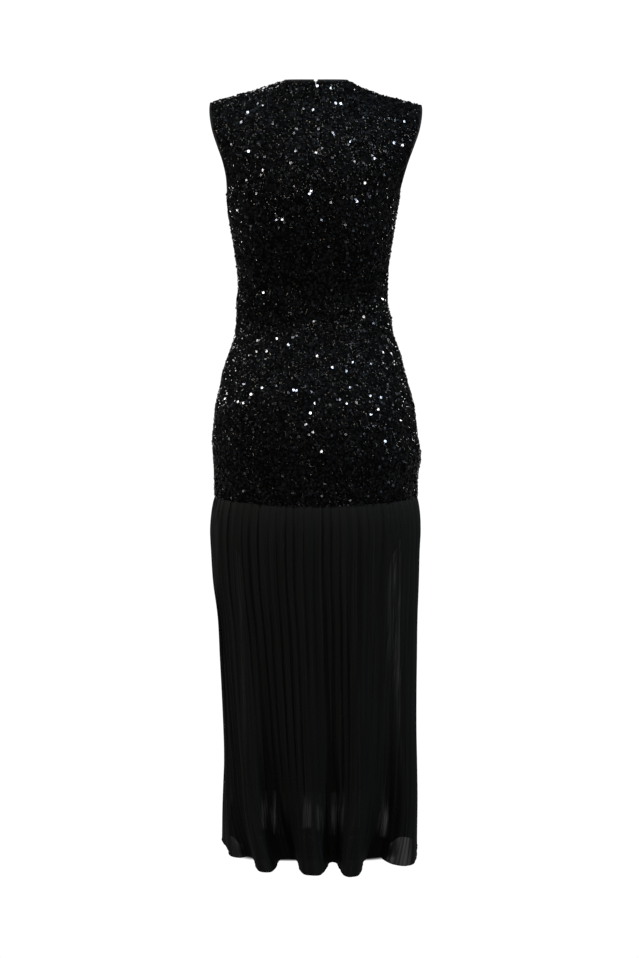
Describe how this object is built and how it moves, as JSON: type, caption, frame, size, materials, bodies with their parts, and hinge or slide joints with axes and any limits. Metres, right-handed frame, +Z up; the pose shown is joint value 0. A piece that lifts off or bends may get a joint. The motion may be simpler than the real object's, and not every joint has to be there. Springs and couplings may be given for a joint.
{
  "type": "maxi dress",
  "caption": "Sleeveless high-neck maxi dress in worn form: sequinned bodice to the hips, sheer knife-pleated skirt over a narrow slip lining, centre back zip.",
  "frame": {"origin": "midway between the neck ends of the two shoulder seams, where the wearer's shoulders hold the dress up", "axes": "+Z up along the wearer, +Y towards the back of the dress, +X towards the wearer's left"},
  "size_m": [0.3608, 0.2575, 1.3354],
  "materials": {
    "sequinned_cloth": "black stretch cloth covered in glossy black sequins",
    "binding_cloth": "matt black turned edge",
    "zip_tape": "matt black woven tape and coil",
    "zip_metal": "plain polished nickel",
    "chiffon": "sheer black pleated chiffon",
    "lining_cloth": "matt black jersey"
  },
  "bodies": {
    "dress": {"front": "sequinned_cloth", "back_left": "sequinned_cloth", "back_right": "sequinned_cloth", "neck_binding": "binding_cloth", "armhole_binding_left": "binding_cloth", "armhole_binding_right": "binding_cloth", "back_zip": "zip_tape", "zip_slider": "zip_metal", "skirt_back": "chiffon", "skirt_front": "chiffon", "lining_back": "lining_cloth", "lining_front": "lining_cloth"},
    "pull": {"zip_pull": "zip_metal"}
  },
  "joints": [
    {"name": "pull_tab_swing", "type": "hinge", "parent": "dress", "child": "pull", "pos_m": [0, 0.0585, -0.0148], "axis": [1, 0, 0], "range_deg": [0, 165]}
  ]
}
